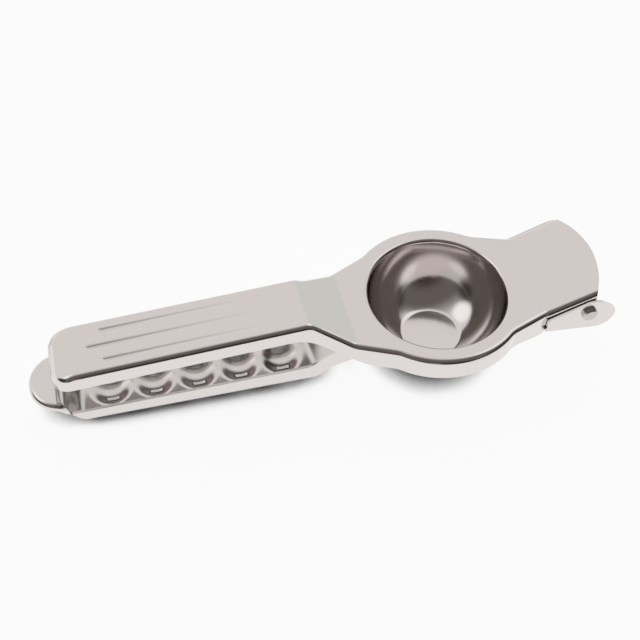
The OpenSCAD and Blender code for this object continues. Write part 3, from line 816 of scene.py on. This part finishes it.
def make_lower(s, material):
    """Lower lever: the pressed sheet with its openings, the floor's end and the two ears."""
    floor, wall = lower_lines(s)
    middle = s.rim_z - s.sheet / 2
    bowl_mid = s.cup_radius + s.sheet + s.nest_gap + s.sheet / 2

    def level(x):
        return middle + floor.height(-x)

    def height(x, y):
        bottom_soft, rim_soft, flange_from, flange_w = 0.5, 0.8, 0.9, 0.7
        r = np.hypot(x, y)
        ball = s.ball_z - np.sqrt(np.maximum(bowl_mid ** 2 - r ** 2, 1e-4))
        bowl = soft_max(ball, s.sheet / 2, bottom_soft)
        dished = np.where(r < bowl_mid - 0.05, soft_min(level(x), bowl, rim_soft), level(x))
        flange = soft_step(r - bowl_mid + flange_from, flange_w)
        return dished * (1 - flange) + level(x) * flange - pocket_relief(s, x, y)

    stop, tab_ease, bowl_from = 37.0, 1.5, -44.0
    slant = math.radians(SHOULDER)
    neck = NECK - (s.inset / math.cos(slant) + s.channel_half - s.half) / math.tan(slant)
    tab_neck = TAB_NECK - s.inset * math.tan(math.radians(TAB_SHOULDER / 2)) - tab_ease
    stations = outline(s, s.channel_half, neck, tab_neck, s.inset, s.tongue_reach,
                       s.channel_half - s.sheet / 2, stop)
    flat_x = stations[:, 0] - np.cos(np.radians(stations[:, 2])) * s.floor_bend
    edge = s.rim_z + wall.height(-stations[:, 0])
    side = side_section(s, stations, s.floor_bend, level(flat_x), slope_of(level, flat_x), edge)
    sheet = Sheet()
    sheet.grid(side)
    sheet.grid(mirrored(side))
    sheet.grid(end_strip(side))
    columns = np.linspace(-1, 1, 53)
    first = int(np.argmax(flat_edge(side)[:, 0] > bowl_from))
    sheet.grid(handle_patch(height, side, first, columns))
    loop = boundary_loop(side, first, len(stations) - 1, columns)
    reach = np.hypot(loop[:, 0], loop[:, 1])
    ray = loop / reach[:, None]
    rings = np.concatenate([np.linspace(FIRST_RING, 12, 5), np.linspace(13, bowl_mid - 0.1, 46)])
    share = np.linspace(0, 1, 20)[1:, None]
    radii = np.vstack([np.repeat(rings[:, None], len(loop), 1),
                       rings[-1] + (reach - rings[-1])[None, :] * share])
    sheet.grid(height_patch(height, ray[:, 0] * radii, ray[:, 1] * radii))
    meshes = [cut_openings(sheet.mesh("lower_sheet", s.sheet), s, material)]
    trim = 0.02
    for sign in (-1, 1):
        meshes.append(plate("ear", ear_outline(s), s.tab_half + s.wall_gap + trim,
                            s.sheet - 2 * trim, sign))
    meshes.append(floor_strip(s, stop))
    return joined("lower_lever_sheet", meshes, material, LOWER_BODY, "lower_lever")


def floor_strip(s, stop):
    """End of the lower lever's floor, which reaches out under the skirt to the ears."""
    bm = bmesh.new()
    bmesh.ops.create_cube(bm, size=1.0)
    reach, width, trim = 3.4, 2 * (s.tab_half + s.wall_gap + s.sheet / 2), 0.02
    middle = Vector((stop - reach / 2, 0, s.rim_z - FLOOR_DROP - s.sheet / 2))
    bmesh.ops.scale(bm, vec=Vector((reach, width, s.sheet - trim)) * MM, verts=bm.verts)
    bmesh.ops.translate(bm, vec=middle * MM, verts=bm.verts)
    mesh = bpy.data.meshes.new("floor_strip")
    bm.to_mesh(mesh)
    bm.free()
    return mesh


def circle_points(centre, radius, count=72):
    """Points round a circle in a plane."""
    angles = np.linspace(0, 2 * math.pi, count + 1)[:-1]
    return [(centre[0] + radius * math.cos(a), centre[1] + radius * math.sin(a)) for a in angles]


def hull(points):
    """Convex hull of points in a plane, counter-clockwise."""
    points = sorted(set(points))
    chains = []
    for line in (points, points[::-1]):
        chain = []
        for p in line:
            while len(chain) > 1:
                (ax, ay), (bx, by) = chain[-2:]
                if (bx - ax) * (p[1] - ay) - (by - ay) * (p[0] - ax) > 0:
                    break
                chain.pop()
            chain.append(p)
        chains += chain[:-1]
    return chains


def ear_outline(s):
    """Outline of an ear from the side: under the tab's edge, round past the rivet and level below."""
    start, foot, tuck = 34.3, 8.1, 2.7
    points = circle_points((s.hinge_x + 1.2, s.hinge_z - 1.4), 6.6)
    points += circle_points((s.hinge_x + 4.5, s.hinge_z - 2.8), 5.9)
    points += [(start, s.rim_z - foot), (start, s.rim_z - tuck)]
    points += [(x, s.rim_z + (x - CREASE) * TAB_RISE - tuck) for x in (36.0, 51.5)]
    return hull(points)


class SQUEEZER_OT_upper_lever(bpy.types.Operator):
    """Upper lever with its press cup, grooves, bead and thumb tab"""
    bl_idname = "squeezer.upper_lever"
    bl_label = "Upper Lever"

    def execute(self, context):
        colours = context.scene.squeezer_colours
        steel = polished_steel("polished stainless steel", colours.steel, 0.12, 0.1)
        make_upper(sizes_in_mm(context), steel)
        return {"FINISHED"}


class SQUEEZER_OT_lower_lever(bpy.types.Operator):
    """Lower lever with its strainer bowl, finger pockets, ears and tongue"""
    bl_idname = "squeezer.lower_lever"
    bl_label = "Lower Lever"

    def execute(self, context):
        colours = context.scene.squeezer_colours
        # The lower lever, with its many pressings, has a duller polish
        steel = polished_steel("polished stainless steel lower", colours.steel, 0.2, 0.1)
        make_lower(sizes_in_mm(context), steel)
        return {"FINISHED"}


class SQUEEZER_OT_rivets(bpy.types.Operator):
    """Finish of the two hinge rivets"""
    bl_idname = "squeezer.rivets"
    bl_label = "Rivets"

    def execute(self, context):
        colours = context.scene.squeezer_colours
        # Clinched rivets keep a satin face without the sheet's waver
        steel = polished_steel("satin rivet steel", colours.rivet, 0.3, 0.0)
        for name in ("hinge_rivet_near", "hinge_rivet_far"):
            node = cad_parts[name]
            node.data.materials.clear()
            node.data.materials.append(steel)
        return {"FINISHED"}


class SQUEEZER_OT_studio(bpy.types.Operator):
    """Pale floor, soft light and the camera"""
    bl_idname = "squeezer.studio"
    bl_label = "Studio"

    def execute(self, context):
        make_camera(context)
        make_world(context)
        make_floor(context)
        return {"FINISHED"}


def make_camera(context):
    """Camera at the photograph's viewing angle, worked out from the cup's rim and the handle."""
    azimuth, elevation, roll = (math.radians(a) for a in (-15.83, 51.26, 1.76))
    scale, distance, aim_x, aim_y = 1.02, 339.2, -40.48, -9.85
    focal_px, frame_px, sensor_mm = 984.2, 640, 36
    level_right = Vector((math.cos(azimuth), math.sin(azimuth), 0))
    back = Vector((math.sin(azimuth) * math.cos(elevation), -math.cos(azimuth) * math.cos(elevation),
                   math.sin(elevation)))
    level_up = back.cross(level_right)
    right = level_right * math.cos(roll) + level_up * math.sin(roll)
    up = level_up * math.cos(roll) - level_right * math.sin(roll)
    place = (right * aim_x + up * aim_y + back * distance) * scale
    place.z += sizes_in_mm(context).rim_z
    camera = bpy.data.objects.new("camera", bpy.data.cameras.new("camera"))
    context.collection.objects.link(camera)
    turn = Matrix((right, up, back)).transposed().to_4x4()
    camera.matrix_world = Matrix.Translation(place * MM) @ turn
    camera.data.sensor_width = sensor_mm
    camera.data.lens = focal_px / frame_px * sensor_mm
    camera.data.clip_start = 0.01
    context.scene.camera = camera


# The room's pale light, and what the steel mirrors in it: direction, cosines of the soft edge's outer
# and inner side, colour and brightness
ROOM = "#e9e6e5"
SURROUNDINGS = (
    ((0.74, 0.60, 0.30), 0.82, 0.96, "#dfe1de", 1.0),
    ((0.0, -1.0, 0.0), -0.30, 0.45, "#6b6461", 1.0),
    ((0.0, -1.0, 0.05), 0.72, 0.97, "#3a3431", 1.0),
    ((-0.98, -0.10, 0.12), 0.82, 0.95, "#3f3a38", 1.0),
    ((0.92, -0.35, 0.15), 0.82, 0.95, "#3f3a38", 1.0),
    ((-0.25, -0.93, 0.22), 0.985, 0.996, "#a9798f", 1.0),
    ((-0.70, 0.22, 0.68), 0.93, 0.99, "#ffffff", 1.1),
    ((0.55, 0.10, 0.83), 0.93, 0.99, "#ffffff", 1.0),
)


def make_world(context):
    """Pale room light with the soft shapes that show in the steel, white to the camera itself."""
    world = bpy.data.worlds.new("studio")
    context.scene.world = world
    world.use_nodes = True
    tree = world.node_tree
    tree.nodes.clear()
    place = add_node(tree, "ShaderNodeTexCoord")
    room = (*linear(ROOM), 1.0)
    for way, outer, inner, hex_colour, level in SURROUNDINGS:
        towards = add_node(tree, "ShaderNodeVectorMath", {"operation": "DOT_PRODUCT"},
                           {0: place.outputs["Generated"], 1: Vector(way).normalized()})
        share = add_node(tree, "ShaderNodeMapRange", {"interpolation_type": "SMOOTHSTEP"},
                         {"Value": towards.outputs["Value"], "From Min": outer, "From Max": inner})
        mixed = add_node(tree, "ShaderNodeMix", {"data_type": "RGBA"},
                         {0: share.outputs["Result"], 6: room,
                          7: (*(level * c for c in linear(hex_colour)), 1.0)})
        room = mixed.outputs[2]
    rays = add_node(tree, "ShaderNodeLightPath")
    shown = add_node(tree, "ShaderNodeMix", {"data_type": "RGBA"},
                     {0: rays.outputs["Is Camera Ray"], 6: room, 7: (1.0, 1.0, 1.0, 1.0)})
    light = add_node(tree, "ShaderNodeBackground", None, {"Color": shown.outputs[2], "Strength": 1.0})
    add_node(tree, "ShaderNodeOutputWorld", None, {"Surface": light.outputs[0]})


def make_floor(context):
    """Plain pale floor that the tool lies on, tipped so that its end pocket touches."""
    size, tilt, edge, gap = 2.0, 0.039, -11.6 * MM, 0.1 * MM
    corners = [(x, y, -(x - edge) * tilt - gap)
               for x, y in ((-size, -size), (size, -size), (size, size), (-size, size))]
    mesh = bpy.data.meshes.new("studio_floor")
    mesh.from_pydata(corners, [], [(0, 1, 2, 3)])
    mesh.materials.append(floor_paint(context.scene.squeezer_colours.floor))
    floor = bpy.data.objects.new("studio_floor", mesh)
    context.collection.objects.link(floor)


class SQUEEZER_PT_panel(bpy.types.Panel):
    """Buttons that build the tool piece by piece"""
    bl_idname = "SQUEEZER_PT_panel"
    bl_label = "Lemon Squeezer"
    bl_space_type = "VIEW_3D"
    bl_region_type = "UI"
    bl_category = "Squeezer"

    def draw(self, context):
        for name in SqueezerSizes.__annotations__:
            self.layout.prop(context.scene.squeezer_sizes, name)
        for name in SqueezerColours.__annotations__:
            self.layout.prop(context.scene.squeezer_colours, name)
        for operator in OPERATORS:
            self.layout.operator(operator.bl_idname)


OPERATORS = (SQUEEZER_OT_studio, SQUEEZER_OT_upper_lever, SQUEEZER_OT_lower_lever, SQUEEZER_OT_rivets)
CLASSES = (SqueezerSizes, SqueezerColours) + OPERATORS + (SQUEEZER_PT_panel,)


def register():
    for item in CLASSES:
        bpy.utils.register_class(item)
    bpy.types.Scene.squeezer_sizes = PointerProperty(type=SqueezerSizes)
    bpy.types.Scene.squeezer_colours = PointerProperty(type=SqueezerColours)


def unregister():
    del bpy.types.Scene.squeezer_colours
    del bpy.types.Scene.squeezer_sizes
    for item in reversed(CLASSES):
        bpy.utils.unregister_class(item)


def main():
    register()
    bpy.context.scene.view_settings.view_transform = "Standard"
    bpy.ops.squeezer.studio()
    bpy.ops.squeezer.upper_lever()
    bpy.ops.squeezer.lower_lever()
    bpy.ops.squeezer.rivets()


if __name__ == "__main__":
    main()
